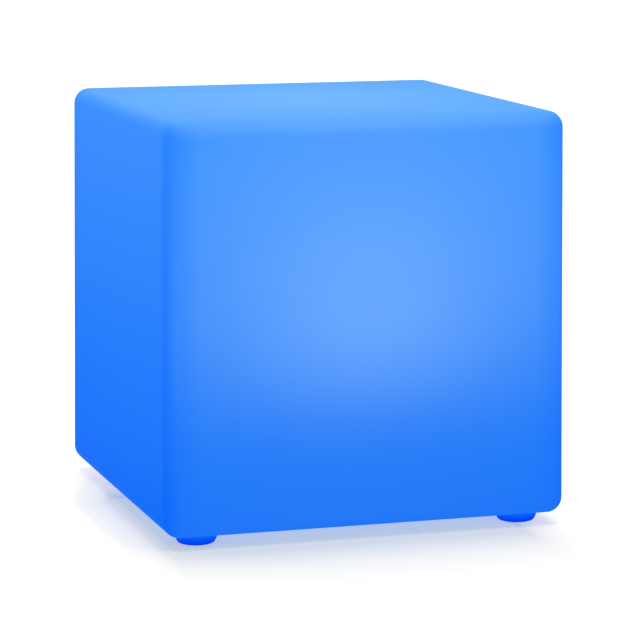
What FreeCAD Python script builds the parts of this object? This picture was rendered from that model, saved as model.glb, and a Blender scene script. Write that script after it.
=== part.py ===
import FreeCAD, Part
import math
import os
import re
import Sketcher

# A cordless cube light: a rotomoulded, softly drafted translucent cube on four push-in feet.
# A round light module closes the opening in its underside. The module stands up inside the cube:
# base plate with button and charging socket, control board, upright cells, light board and dome.
# The origin is on the ground under the middle of the cube, X to the right, Y to the back, Z up.
# All lengths are in millimetres and all angles in degrees.

SIZES = {
    # cube shell
    "body_width": 400,
    "body_height": 391.5,
    "draft_angle": 0.5,
    "edge_radius": 15.5,
    "shell_wall": 3.5,
    "recess_mouth_radius": 2.5,
    # feet
    "foot_height": 10.5,
    "foot_inset": 38,
    "foot_top_radius": 22,
    "foot_sole_radius": 17.5,
    "foot_sole_rounding": 4,
    "foot_stem_radius": 7,
    "foot_stem_length": 12,
    "stem_groove_depth": 0.8,
    "stem_clearance": 0.15,
    # opening, flange and what fastens them
    "opening_radius": 59,
    "flange_width": 16,
    "flange_thickness": 4,
    "flange_inset": 1,
    "recess_gap": 1.5,
    "gasket_thickness": 1.5,
    "flange_screw_count": 6,
    "screw_radius": 2,
    "screw_head_radius": 4,
    "screw_head_height": 2.4,
    "screw_length": 11,
    "screw_clearance": 0.25,
    "thread_gap": 0.05,
    "insert_radius": 4,
    "insert_length": 10,
    "insert_floor": 3,
    "moulded_gap": 0.03,
    # module housing
    "opening_gap": 2,
    "housing_wall": 2.5,
    "spigot_height": 7,
    "spigot_gap": 0.3,
    "groove_depth": 1.5,
    "groove_width": 2.2,
    "ring_gap": 0.05,
    "housing_boss_radius": 3.7,
    "housing_boss_height": 24,
    "small_screw_radius": 1.5,
    "small_head_radius": 2.8,
    "small_head_height": 1.8,
    "housing_screw_length": 18,
    "seat_gap": 0.2,
    "plate_rib_width": 1.5,
    "plate_rib_height": 4,
    "drip_groove_width": 1.5,
    "drip_groove_depth": 0.6,
    # power button
    "button_place": 18,
    "button_radius": 9,
    "button_gap": 0.3,
    "button_travel": 1.6,
    "shoulder_width": 1.6,
    "shoulder_height": 1.4,
    "guide_wall": 2,
    "button_stem_radius": 3.5,
    "button_dish_depth": 0.6,
    "button_groove_depth": 0.9,
    "button_groove_width": 1.5,
    "switch_width": 8.5,
    "switch_height": 5,
    "plunger_radius": 2,
    "plunger_gap": 0.2,
    # charging socket
    "socket_place": 18,
    "socket_barrel_radius": 4,
    "socket_flange_radius": 5.7,
    "socket_flange_thickness": 1.2,
    "socket_bore_radius": 2.85,
    "socket_bore_depth": 9.5,
    "socket_back": 1.8,
    "socket_pin_radius": 1,
    "pin_setback": 2,
    "socket_gap": 0.15,
    "nut_across_flats": 11,
    "nut_height": 2.5,
    "washer_thickness": 0.8,
    "socket_pad_height": 2,
    # rubber cap of the socket
    "cap_radius": 8.6,
    "cap_thickness": 1.2,
    "cap_plug_radius": 2.3,
    "cap_plug_length": 1.9,
    "cap_hinge_reach": 10.5,
    "cap_strap_width": 7,
    "cap_recess_depth": 1.5,
    "cap_margin": 0.9,
    "hinge_gap": 0.3,
    "anchor_length": 5,
    "anchor_stem_radius": 1.6,
    # charge indicator
    "indicator_place": 14,
    "indicator_radius": 1.5,
    # control board
    "board_length": 78,
    "board_width": 50,
    "board_thickness": 1.6,
    "board_standoff": 10.5,
    "board_hole_inset": 5,
    "standoff_radius": 3,
    "fine_screw_radius": 1.25,
    "fine_head_radius": 2.3,
    "fine_head_height": 1.4,
    "fine_screw_length": 6,
    "connector_length": 8,
    "connector_width": 6,
    "connector_height": 5.5,
    "connector_place": 19,
    "chip_length": 10,
    "chip_height": 1.8,
    "coil_width": 7,
    "coil_height": 4,
    "capacitor_radius": 3.2,
    "capacitor_height": 7,
    "lamp_chip_height": 1.2,
    # battery
    "tray_height": 22,
    "tray_thickness": 2,
    "tray_length": 60,
    "tray_width": 74,
    "tray_hole_inset": 6,
    "pillar_radius": 3.5,
    "cell_radius": 9.2,
    "cell_length": 65,
    "cell_spacing": 19,
    "cell_headroom": 2.2,
    "wrap_thickness": 0.3,
    "wrap_gap": 0.15,
    "wrap_inset": 1,
    "cradle_wall": 2,
    "cradle_height": 52,
    "cup_height": 14,
    "link_thickness": 0.3,
    "link_width": 7,
    "strap_thickness": 0.9,
    "strap_width": 5,
    "strap_low": 20,
    "strap_high": 40,
    "lead_radius": 0.7,
    "lead_bend": 5,
    "lead_spacing": 4,
    "lead_slack": 5,
    # light board and dome
    "light_board_radius": 46,
    "light_board_thickness": 1.6,
    "board_margin": 1.5,
    "light_ring_outer": 36,
    "light_ring_inner": 20,
    "package_width": 5,
    "package_height": 1.6,
    "receiver_width": 6,
    "receiver_height": 2.5,
    "lead_hole_radius": 3.5,
    "light_hole_circle": 42,
    "dome_seal_thickness": 1,
    "dome_flange_thickness": 2,
    "dome_wall": 2,
    "dome_rise": 22,
    "dome_screw_count": 6,
}

doc = FreeCAD.newDocument("CubeLight")
sheet = doc.addObject("Spreadsheet::Sheet", "Sizes")
for row, (name, size) in enumerate(SIZES.items(), start=1):
    sheet.set(f"A{row}", name)
    sheet.set(f"B{row}", str(size))
    sheet.setAlias(f"B{row}", name)
doc.recompute()

PIECES = {}
CLOSE = 1e-3


# ---------------------------------------------------------------- helpers


def bound(text):
    """An expression in which every size is read from its cell."""
    def cell(word):
        return "Sizes." + word.group() if word.group() in SIZES else word.group()
    return re.sub(r"[a-z_]+", cell, str(text))


def amount(text):
    """The number that an expression gives with the present sizes."""
    return float(sheet.evalExpression(bound(text)))


def new_body(label):
    body = doc.addObject("PartDesign::Body", label)
    body.Label = label
    body.AllowCompound = True
    return body


def origin_part(body, role):
    return next(item for item in body.Origin.OriginFeatures if item.Role == role)


def new_sketch(body, plane="XY_Plane", height="0", across="0", along="0"):
    """A sketch on one of the body's origin planes, shifted in that plane and off it."""
    sketch = body.newObject("Sketcher::SketchObject", body.Label + "_sketch")
    sketch.AttachmentSupport = [(origin_part(body, plane), "")]
    sketch.MapMode = "FlatFace"
    sketch.setExpression("AttachmentOffset.Base.x", bound(across))
    sketch.setExpression("AttachmentOffset.Base.y", bound(along))
    sketch.setExpression("AttachmentOffset.Base.z", bound(height))
    return sketch


def hold_point(sketch, geometry, position, across, up):
    """Ties a point of the sketch to its two distances from the sketch's origin."""
    for kind, text in (("DistanceX", across), ("DistanceY", up)):
        rule = Sketcher.Constraint(kind, -1, 1, geometry, position, amount(text))
        held = sketch.addConstraint(rule)
        sketch.setExpression(f"Constraints[{held}]", bound(text))


def draw_outline(sketch, corners):
    """A closed outline of straight edges; each corner is a pair of expressions."""
    points = [FreeCAD.Vector(amount(across), amount(up), 0) for across, up in corners]
    first = sketch.GeometryCount
    for start, end in zip(points, points[1:] + points[:1]):
        sketch.addGeometry(Part.LineSegment(start, end))
    for index, (across, up) in enumerate(corners):
        before = first + (index - 1) % len(corners)
        sketch.addConstraint(Sketcher.Constraint("Coincident", before, 2, first + index, 1))
        hold_point(sketch, first + index, 1, across, up)


def draw_circle(sketch, radius, across="0", up="0"):
    centre = FreeCAD.Vector(amount(across), amount(up), 0)
    circle = sketch.addGeometry(Part.Circle(centre, FreeCAD.Vector(0, 0, 1), amount(radius)))
    hold_point(sketch, circle, 3, across, up)
    size = sketch.addConstraint(Sketcher.Constraint("Radius", circle, amount(radius)))
    sketch.setExpression(f"Constraints[{size}]", bound(radius))


def draw_rectangle(sketch, length, width, across="0", up="0"):
    corners = []
    for side_x, side_y in ((-1, -1), (1, -1), (1, 1), (-1, 1)):
        corners.append((f"{across} + {side_x} * ({length}) / 2", f"{up} + {side_y} * ({width}) / 2"))
    draw_outline(sketch, corners)


def pad(body, sketch, length, draft=None, symmetric=False):
    feature = body.newObject("PartDesign::Pad", body.Label + "_pad")
    feature.Profile = sketch
    feature.setExpression("Length", bound(length))
    if symmetric:
        feature.SideType = "Symmetric"
    if draft:
        feature.setExpression("TaperAngle", bound(draft))
    doc.recompute()
    return feature


def pocket(body, sketch, depth, upward=True):
    """Cuts upwards from a level sketch, or downwards; the volume must shrink."""
    before = body.Shape.Volume
    feature = body.newObject("PartDesign::Pocket", body.Label + "_pocket")
    feature.Profile = sketch
    feature.Reversed = upward
    feature.setExpression("Length", bound(depth))
    doc.recompute()
    if body.Shape.Volume >= before:
        raise ValueError(body.Label + ": a pocket cuts nothing")
    return feature


def revolve(body, sketch):
    feature = body.newObject("PartDesign::Revolution", body.Label + "_revolution")
    feature.Profile = sketch
    feature.ReferenceAxis = (sketch, ["V_Axis"])
    feature.Angle = 360
    doc.recompute()
    return feature


def groove(body, sketch):
    feature = body.newObject("PartDesign::Groove", body.Label + "_groove")
    feature.Profile = sketch
    feature.ReferenceAxis = (sketch, ["V_Axis"])
    feature.Angle = 360
    doc.recompute()
    return feature


def round_edges(body, test, radius):
    """Fillets the edges of the body's last feature that pass the test."""
    base = body.Tip
    names = [f"Edge{i}" for i, edge in enumerate(base.Shape.Edges, start=1) if test(edge)]
    if not names:
        raise ValueError(body.Label + ": no edge to round")
    feature = body.newObject("PartDesign::Fillet", body.Label + "_fillet")
    feature.Base = (base, names)
    feature.setExpression("Radius", bound(radius))
    doc.recompute()
    return feature


def around(body, features, count):
    """Repeats features evenly about the vertical axis."""
    pattern = body.newObject("PartDesign::PolarPattern", body.Label + "_pattern")
    pattern.Originals = features
    pattern.Axis = (origin_part(body, "Z_Axis"), [""])
    pattern.Angle = 360
    pattern.setExpression("Occurrences", bound(count))
    body.Tip = pattern
    doc.recompute()
    return pattern


def four_ways(body, features):
    """Repeats features in all four quarters."""
    pattern = body.newObject("PartDesign::MultiTransform", body.Label + "_quarters")
    pattern.Originals = features
    mirrors = []
    for role in ("YZ_Plane", "XZ_Plane"):
        mirror = body.newObject("PartDesign::Mirrored", body.Label + "_mirror")
        mirror.MirrorPlane = (origin_part(body, role), [""])
        mirrors.append(mirror)
    pattern.Transformations = mirrors
    body.Tip = pattern
    doc.recompute()
    return pattern


def turned(label, corners, across="0", depth="0"):
    """A body revolved about an upright axis through (across, -depth)."""
    body = new_body(label)
    sketch = new_sketch(body, "XZ_Plane", depth, across)
    draw_outline(sketch, corners)
    revolve(body, sketch)
    return body


def cylinder(label, radius, height, place):
    solid = doc.addObject("Part::Cylinder", label)
    solid.setExpression("Radius", bound(radius))
    solid.setExpression("Height", bound(height))
    for axis, text in zip("xyz", place):
        solid.setExpression(f"Placement.Base.{axis}", bound(text))
    return solid


def block(label, size, place):
    """A box by its three sizes, standing on the point in the middle of its underside."""
    solid = doc.addObject("Part::Box", label)
    for side, text in zip(("Length", "Width", "Height"), size):
        solid.setExpression(side, bound(text))
    solid.setExpression("Placement.Base.x", bound(f"{place[0]} - ({size[0]}) / 2"))
    solid.setExpression("Placement.Base.y", bound(f"{place[1]} - ({size[1]}) / 2"))
    solid.setExpression("Placement.Base.z", bound(place[2]))
    return solid


def join(label, solids):
    joined = doc.addObject("Part::MultiFuse", label)
    joined.Shapes = solids
    joined.Refine = True
    return joined


def gather(label, solids):
    group = doc.addObject("Part::Compound", label)
    group.Links = solids
    return group


def cut(label, base, tool):
    rest = doc.addObject("Part::Cut", label)
    rest.Base = base
    rest.Tool = tool
    return rest


def keep(node, solid):
    """Names the finished piece; its label names its file."""
    solid.Label = node
    PIECES[node] = solid
    return solid


def is_level_circle(edge, radius, level):
    """True for a circle in a level plane with this radius at this height."""
    if edge.Degenerated:
        return False
    curve = edge.Curve
    if not isinstance(curve, Part.Circle) or abs(abs(curve.Axis.z) - 1) > CLOSE:
        return False
    return abs(curve.Radius - radius) < CLOSE and abs(curve.Center.z - level) < CLOSE


# ---------------------------------------------------------------- levels and radii that follow

flange_bottom = "(foot_height + flange_inset)"
flange_top = f"({flange_bottom} + flange_thickness)"
recess_ceiling = f"({flange_top} + gasket_thickness)"
recess_depth = f"({recess_ceiling} - foot_height)"
flange_radius = "(opening_radius + flange_width)"
recess_radius = f"({flange_radius} + recess_gap)"
flange_screw_circle = "(opening_radius + flange_width / 2)"
insert_top = f"({recess_ceiling} + insert_length)"
boss_radius = "(insert_radius + shell_wall)"

housing_radius = "(opening_radius - opening_gap)"
housing_inner = f"({housing_radius} - housing_wall)"
spigot_radius = f"({housing_inner} - spigot_gap)"
spigot_inner = f"({spigot_radius} - housing_wall)"
spigot_top = f"({flange_top} + spigot_height)"
groove_level = f"({flange_top} + spigot_height / 2)"
housing_boss_circle = f"({spigot_inner} - housing_boss_radius - spigot_gap)"

board_bottom = f"({flange_top} + board_standoff)"
board_top = f"({board_bottom} + board_thickness)"
board_hole_x = "(board_length / 2 - board_hole_inset)"
board_hole_y = "(board_width / 2 - board_hole_inset)"

tray_bottom = f"({flange_top} + tray_height)"
tray_top = f"({tray_bottom} + tray_thickness)"
tray_hole_x = "(tray_length / 2 - tray_hole_inset)"
tray_hole_y = "(tray_width / 2 - tray_hole_inset)"
cell_bottom = f"({tray_top} + link_thickness)"
cell_top = f"({cell_bottom} + cell_length)"
deck_bottom = f"({cell_top} + cell_headroom)"
deck_top = f"({deck_bottom} + housing_wall)"
wrap_inner = "(cell_radius + wrap_gap)"
wrap_outer = f"({wrap_inner} + wrap_thickness)"
cradle_inner = f"({wrap_outer} + wrap_gap)"
cradle_outer = f"({cradle_inner} + cradle_wall)"
strap_inner = f"({cradle_outer} + wrap_gap)"

light_board_top = f"({deck_top} + light_board_thickness)"
dome_flange_bottom = f"({deck_top} + dome_seal_thickness)"
dome_flange_top = f"({dome_flange_bottom} + dome_flange_thickness)"
dome_inner = "(light_board_radius + board_margin)"
dome_screw_circle = f"(({dome_inner} + dome_wall + {housing_radius}) / 2)"


# ---------------------------------------------------------------- cube shell


def drafted_cube(label, inset):
    """A solid cube that narrows upwards, all its edges round, this far inside the outer faces."""
    body = new_body(label)
    sketch = new_sketch(body, height=f"foot_height + {inset}")
    side = f"(body_width - 2 * ({inset}) * (1 / cos(draft_angle) + tan(draft_angle)))"
    draw_rectangle(sketch, side, side)
    pad(body, sketch, f"body_height - 2 * ({inset})", draft="-draft_angle")
    round_edges(body, lambda edge: True, f"edge_radius - {inset}")
    return body


def foot_places():
    """Each foot's name and the signs of its quarter."""
    for side_y, row_name in ((-1, "front"), (1, "rear")):
        for side_x, column_name in ((-1, "left"), (1, "right")):
            yield f"foot_{row_name}_{column_name}", side_x, side_y


foot_place = "(body_width / 2 - foot_inset)"
socket_radius = "(foot_stem_radius + stem_clearance)"
socket_height = "(foot_stem_length + seat_gap)"


def circles_at_feet(body, radius, level, height):
    sketch = new_sketch(body, height=level)
    for _, side_x, side_y in foot_places():
        draw_circle(sketch, radius, f"{side_x} * {foot_place}", f"{side_y} * {foot_place}")
    return pocket(body, sketch, height)


def round_pocket(body, radius, level, height, across="0", along="0"):
    sketch = new_sketch(body, height=level)
    draw_circle(sketch, radius, across, along)
    return pocket(body, sketch, height)


def make_shell():
    """The moulded wall follows the recess, the foot sockets and the screw bosses inside."""
    outer = drafted_cube("shell_outside", "0")
    round_pocket(outer, recess_radius, "foot_height", recess_depth)
    mouth = amount(recess_radius)
    underside = amount("foot_height")
    round_edges(outer, lambda edge: is_level_circle(edge, mouth, underside), "recess_mouth_radius")
    round_pocket(outer, "opening_radius", recess_ceiling, "2 * shell_wall")
    circles_at_feet(outer, socket_radius, "foot_height", socket_height)
    insert_hole = round_pocket(outer, "insert_radius + moulded_gap", recess_ceiling, "insert_length",
                               flange_screw_circle)
    around(outer, [insert_hole], "flange_screw_count")

    inner = drafted_cube("shell_inside", "shell_wall")
    inside_floor = "(foot_height + shell_wall)"
    round_pocket(inner, f"{recess_radius} + shell_wall", inside_floor, recess_depth)
    circles_at_feet(inner, f"{socket_radius} + shell_wall", inside_floor, socket_height)
    boss = round_pocket(inner, boss_radius, inside_floor,
                        f"{insert_top} + insert_floor - {inside_floor}", flange_screw_circle)
    around(inner, [boss], "flange_screw_count")
    keep("cube_shell", cut("shell_wall_solid", outer, inner))


def make_feet():
    """A foot is a soft, tapered puck with a ribbed stem that is pushed into its socket."""
    stem_groove = "(foot_stem_radius - stem_groove_depth)"
    corners = [("0", "0"), ("foot_sole_radius", "0"), ("foot_top_radius", "foot_height"),
               ("foot_stem_radius", "foot_height")]
    for share in (0.2, 0.6):
        low = f"foot_height + {share} * foot_stem_length"
        high = f"foot_height + ({share} + 0.2) * foot_stem_length"
        corners += [("foot_stem_radius", low), (stem_groove, low), (stem_groove, high),
                    ("foot_stem_radius", high)]
    top = "foot_height + foot_stem_length"
    corners += [("foot_stem_radius", top), ("0", top)]
    for name, side_x, side_y in foot_places():
        body = turned(name + "_body", corners, f"{side_x} * {foot_place}", f"{-side_y} * {foot_place}")
        sole = amount("foot_sole_radius")
        round_edges(body, lambda edge: is_level_circle(edge, sole, 0), "foot_sole_rounding")
        keep(name, body)


def hexagon(reach, across, up="0"):
    """The corners of a hexagon with this distance from its middle to a corner."""
    return [(f"{across} + {reach} * cos({60 * i})", f"{up} + {reach} * sin({60 * i})") for i in range(6)]


def pan_screw(label, radius, head_radius, head_height, seat, length, facing, across, depth="0"):
    """A pan-head screw with a hexagon socket; facing 1 has its head above the seat, -1 below it.

    Returns the body and the features that a pattern repeats.
    """
    body = turned(label, [
        ("0", f"{seat} + {facing} * {head_height}"),
        (f"{head_radius} * 0.7", f"{seat} + {facing} * {head_height}"),
        (head_radius, f"{seat} + {facing} * {head_height} * 0.45"),
        (head_radius, seat),
        (radius, seat),
        (radius, f"{seat} - {facing} * ({length})"),
        ("0", f"{seat} - {facing} * ({length})"),
    ], across, depth)
    shank = body.Tip
    sketch = new_sketch(body, height=f"{seat} + {facing} * {head_height}")
    draw_outline(sketch, hexagon(f"{head_radius} * 0.45", across, f"-{depth}"))
    socket = pocket(body, sketch, f"{head_height} * 0.6", upward=facing < 0)
    return body, [shank, socket]


def make_flange_fastening():
    """Brass inserts moulded into the shell, the ring gasket and the six screws."""
    inserts = turned("inserts", [
        ("screw_radius + thread_gap", recess_ceiling),
        ("insert_radius", recess_ceiling),
        ("insert_radius", insert_top),
        ("screw_radius + thread_gap", insert_top),
    ], flange_screw_circle)
    around(inserts, [inserts.Tip], "flange_screw_count")
    keep("threaded_inserts", inserts)

    gasket = new_body("gasket")
    sketch = new_sketch(gasket, height=flange_top)
    draw_circle(sketch, flange_radius)
    draw_circle(sketch, "opening_radius + seat_gap")
    pad(gasket, sketch, "gasket_thickness")
    hole = round_pocket(gasket, "screw_radius + screw_clearance", flange_top, "gasket_thickness",
                        flange_screw_circle)
    around(gasket, [hole], "flange_screw_count")
    keep("flange_gasket", gasket)

    screws, features = pan_screw(
        "screws", "screw_radius", "screw_head_radius", "screw_head_height",
        f"({flange_bottom} + screw_head_height)", "screw_length", -1, flange_screw_circle)
    around(screws, features, "flange_screw_count")
    keep("flange_screws", screws)


# ---------------------------------------------------------------- base plate and housing


def quarter_holes(body, place_x, place_y, radius, level, height):
    """Four round holes, one in each quarter."""
    sketch = new_sketch(body, height=level)
    for _, side_x, side_y in foot_places():
        draw_circle(sketch, radius, f"{side_x} * {place_x}", f"{side_y} * {place_y}")
    return pocket(body, sketch, height)


def quarter_posts(body, place_x, place_y, radius, level, height):
    """Four round posts, one in each quarter."""
    sketch = new_sketch(body, height=level)
    for _, side_x, side_y in foot_places():
        draw_circle(sketch, radius, f"{side_x} * {place_x}", f"{side_y} * {place_y}")
    return pad(body, sketch, height)


def round_post(body, radius, level, height, across="0", along="0"):
    sketch = new_sketch(body, height=level)
    draw_circle(sketch, radius, across, along)
    return pad(body, sketch, height)


def long_pocket(body, length, width, level, height, across="0", along="0"):
    sketch = new_sketch(body, height=level)
    draw_rectangle(sketch, length, width, across, along)
    return pocket(body, sketch, height)


def long_post(body, length, width, level, height, across="0", along="0"):
    sketch = new_sketch(body, height=level)
    draw_rectangle(sketch, length, width, across, along)
    return pad(body, sketch, height)


def ring_post(body, outside, inside, level, height, across="0"):
    sketch = new_sketch(body, height=level)
    draw_circle(sketch, outside, across)
    draw_circle(sketch, inside, across)
    return pad(body, sketch, height)


button_x = "(-button_place)"
shoulder_radius = "(button_radius + shoulder_width)"
shoulder_bottom = f"({flange_top} + seat_gap)"
shoulder_top = f"({shoulder_bottom} + shoulder_height)"
guide_inner = f"({shoulder_radius} + button_gap)"
guide_height = "(seat_gap + shoulder_height + button_travel + guide_wall)"
switch_bottom = f"({board_bottom} - switch_height)"
button_stem_top = f"({switch_bottom} - button_travel - shoulder_height)"
plunger_top = f"({switch_bottom} + switch_height * 0.4)"

cap_recess_floor = f"({flange_bottom} + cap_recess_depth)"
cap_bottom = f"({cap_recess_floor} - seat_gap - cap_thickness)"
cap_top = f"({cap_bottom} + cap_thickness)"
hinge_x = "(socket_place + cap_hinge_reach)"
hinge_z = f"({cap_bottom} + cap_thickness / 2)"
anchor_start = f"({hinge_x} + cap_thickness / 2 + hinge_gap)"
anchor_middle = f"({anchor_start} + anchor_length / 2)"
socket_ledge = f"({cap_recess_floor} + socket_flange_thickness)"
socket_seat = f"({flange_top} + socket_pad_height)"
washer_top = f"({socket_seat} + washer_thickness)"
bore_end = f"({cap_recess_floor} + socket_bore_depth)"
socket_end = f"({bore_end} + socket_back)"
pin_root_radius = "(socket_pin_radius * 1.4)"


def make_base_plate():
    """Moulded disc with sealing spigot, standoffs, pillars, button guide, socket pad and stiff ribs.

    The ring groove in its underside makes water that creeps inwards drip off.
    """
    plate = new_body("plate")
    round_post(plate, flange_radius, flange_bottom, "flange_thickness")
    rim = amount(flange_radius)
    low = amount(flange_bottom)
    round_edges(plate, lambda edge: is_level_circle(edge, rim, low), "flange_thickness / 4")
    ring_post(plate, spigot_radius, spigot_inner, flange_top, "spigot_height")
    sketch = new_sketch(plate, "XZ_Plane")
    draw_rectangle(sketch, "2 * groove_depth", "groove_width", spigot_radius, groove_level)
    groove(plate, sketch)
    quarter_posts(plate, tray_hole_x, tray_hole_y, "pillar_radius", flange_top, "tray_height")
    quarter_posts(plate, board_hole_x, board_hole_y, "standoff_radius", flange_top, "board_standoff")
    ring_post(plate, f"{guide_inner} + guide_wall", guide_inner, flange_top, guide_height, button_x)
    round_post(plate, "nut_across_flats / 2 / cos(30) + cap_margin", flange_top, "socket_pad_height",
               "socket_place")

    rib_end = f"({spigot_inner} + (housing_wall - groove_depth) / 2)"
    rib_start = "(nut_across_flats + plate_rib_width)"
    corners = []
    for reach, side in ((rib_start, -1), (rib_end, -1), (rib_end, 1), (rib_start, 1)):
        half = f"{side} * plate_rib_width / 2"
        corners.append((f"({reach} - {half}) * cos(45)", f"({reach} + {half}) * sin(45)"))
    sketch = new_sketch(plate, height=flange_top)
    draw_outline(sketch, corners)
    around(plate, [pad(plate, sketch, "plate_rib_height")], "4")

    sketch = new_sketch(plate, height=flange_bottom)
    draw_circle(sketch, f"{housing_radius} + drip_groove_width / 2")
    draw_circle(sketch, f"{housing_radius} - drip_groove_width / 2")
    pocket(plate, sketch, "drip_groove_depth")

    hole = round_pocket(plate, "screw_radius + screw_clearance", flange_bottom, "flange_thickness",
                        flange_screw_circle)
    sink = round_pocket(plate, "screw_head_radius + screw_clearance", flange_bottom,
                        "screw_head_height", flange_screw_circle)
    around(plate, [hole, sink], "flange_screw_count")
    hole = round_pocket(plate, "small_screw_radius + screw_clearance", flange_bottom,
                        "flange_thickness", housing_boss_circle)
    sink = round_pocket(plate, "small_head_radius + screw_clearance", flange_bottom,
                        "small_head_height", housing_boss_circle)
    around(plate, [hole, sink], "4")

    round_pocket(plate, "button_radius + button_gap", flange_bottom, "flange_thickness", button_x)
    round_pocket(plate, "cap_radius + cap_margin", flange_bottom, "cap_recess_depth", "socket_place")
    slot_end = f"({anchor_start} + anchor_length + hinge_gap)"
    long_pocket(plate, f"{slot_end} - socket_place", "cap_strap_width + 2 * hinge_gap", flange_bottom,
                "cap_recess_depth", f"({slot_end} + socket_place) / 2")
    round_pocket(plate, "cap_radius / 2", flange_bottom, "cap_recess_depth",
                 "socket_place - cap_radius - cap_margin")
    round_pocket(plate, "socket_flange_radius + socket_gap", cap_recess_floor,
                 "socket_flange_thickness", "socket_place")
    round_pocket(plate, "socket_barrel_radius + socket_gap", socket_ledge,
                 f"{socket_seat} - {socket_ledge}", "socket_place")
    round_pocket(plate, "anchor_stem_radius + moulded_gap", cap_recess_floor,
                 f"{flange_top} - {cap_recess_floor}", anchor_middle)
    round_pocket(plate, "indicator_radius + moulded_gap", flange_bottom, "flange_thickness", "0",
                 "-indicator_place")
    for place_x, place_y, level in ((tray_hole_x, tray_hole_y, tray_bottom),
                                    (board_hole_x, board_hole_y, board_bottom)):
        quarter_holes(plate, place_x, place_y, "fine_screw_radius + thread_gap",
                      f"{level} - fine_screw_length", "fine_screw_length")
    keep("base_plate", plate)


def make_housing():
    """Deep cup over boards and cells, with screw bosses inside and the deck for the light board."""
    cup = new_body("cup")
    round_post(cup, housing_radius, flange_top, f"{deck_top} - {flange_top}")
    round_pocket(cup, housing_inner, flange_top, f"{deck_bottom} - {flange_top}")
    low = f"({flange_top} + seat_gap)"
    boss = round_post(cup, "housing_boss_radius", low, "housing_boss_height", housing_boss_circle)
    web_foot = f"({spigot_top} + seat_gap)"
    web = long_post(cup, f"{housing_inner} + housing_wall / 2 - {housing_boss_circle}",
                    "housing_wall", web_foot, f"{low} + housing_boss_height - {web_foot}",
                    f"({housing_inner} + housing_wall / 2 + {housing_boss_circle}) / 2")
    bore = round_pocket(cup, "small_screw_radius + thread_gap", low, "housing_screw_length",
                        housing_boss_circle)
    around(cup, [boss, web, bore], "4")
    boss_depth = "(fine_screw_length + seat_gap * 5)"
    for circle, count in ((dome_screw_circle, "dome_screw_count"), ("light_hole_circle", "4")):
        boss = round_post(cup, "standoff_radius", f"{deck_top} - {boss_depth}",
                          f"{boss_depth} - housing_wall / 2", circle)
        bore = round_pocket(cup, "fine_screw_radius + thread_gap", f"{deck_top} - fine_screw_length",
                            "fine_screw_length", circle)
        around(cup, [boss, bore], count)
    round_pocket(cup, "lead_hole_radius", deck_bottom, "housing_wall", "0", "connector_place")
    keep("module_housing", cup)

    ring = doc.addObject("Part::Torus", "housing_ring")
    cord = "((groove_depth + spigot_gap) / 2 - ring_gap)"
    ring.setExpression("Radius2", bound(cord))
    ring.setExpression("Radius1", bound(f"{housing_inner} - ring_gap - {cord}"))
    ring.setExpression("Placement.Base.z", bound(groove_level))
    keep("housing_seal", ring)

    screws, features = pan_screw(
        "long_screws", "small_screw_radius", "small_head_radius", "small_head_height",
        f"({flange_bottom} + small_head_height)", "housing_screw_length", -1, housing_boss_circle)
    around(screws, features, "4")
    keep("housing_screws", screws)


# ---------------------------------------------------------------- button and switch


def make_button():
    """Round push button held by its shoulder; it works the plunger of the switch above it."""
    groove_floor = "(button_radius - button_groove_depth)"
    groove_middle = f"({flange_bottom} + flange_thickness / 2)"
    corners = [
        ("0", f"{flange_bottom} + button_dish_depth"),
        ("button_radius * 0.8", flange_bottom),
        ("button_radius - button_dish_depth", flange_bottom),
        ("button_radius", f"{flange_bottom} + button_dish_depth"),
        ("button_radius", f"{groove_middle} - button_groove_width / 2"),
        (groove_floor, f"{groove_middle} - button_groove_width / 2"),
        (groove_floor, f"{groove_middle} + button_groove_width / 2"),
        ("button_radius", f"{groove_middle} + button_groove_width / 2"),
        ("button_radius", shoulder_bottom),
        (shoulder_radius, shoulder_bottom),
        (shoulder_radius, shoulder_top),
        ("button_stem_radius", shoulder_top),
        ("button_stem_radius", button_stem_top),
        ("0", button_stem_top),
    ]
    keep("power_button", turned("button", corners, button_x))

    ring = doc.addObject("Part::Torus", "button_ring")
    cord = "((button_groove_depth + button_gap) / 2 - 2 * ring_gap)"
    ring.setExpression("Radius2", bound(cord))
    ring.setExpression("Radius1", bound(f"{groove_floor} + ring_gap + {cord}"))
    ring.setExpression("Placement.Base.x", bound(button_x))
    ring.setExpression("Placement.Base.z", bound(groove_middle))
    keep("button_seal", ring)

    switch = new_body("switch")
    long_post(switch, "switch_width", "switch_width", switch_bottom, "switch_height", button_x)
    round_edges(switch, lambda edge: edge.Length < amount("switch_height") + CLOSE, "switch_width / 12")
    round_pocket(switch, "plunger_radius + plunger_gap", switch_bottom,
                 f"{plunger_top} + button_travel + seat_gap - {switch_bottom}", button_x)
    keep("push_switch", switch)

    plunger = turned("plunger", [
        ("0", button_stem_top),
        ("plunger_radius", button_stem_top),
        ("plunger_radius", plunger_top),
        ("0", plunger_top),
    ], button_x)
    keep("switch_plunger", plunger)


# ---------------------------------------------------------------- charging socket and its cap


def hexagon_nut(label, across_flats, bore, level, height, across):
    nut = new_body(label)
    sketch = new_sketch(nut, height=level)
    draw_outline(sketch, hexagon(f"({across_flats} / 2 / cos(30))", across))
    draw_circle(sketch, bore, across)
    pad(nut, sketch, height)
    return nut


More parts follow.
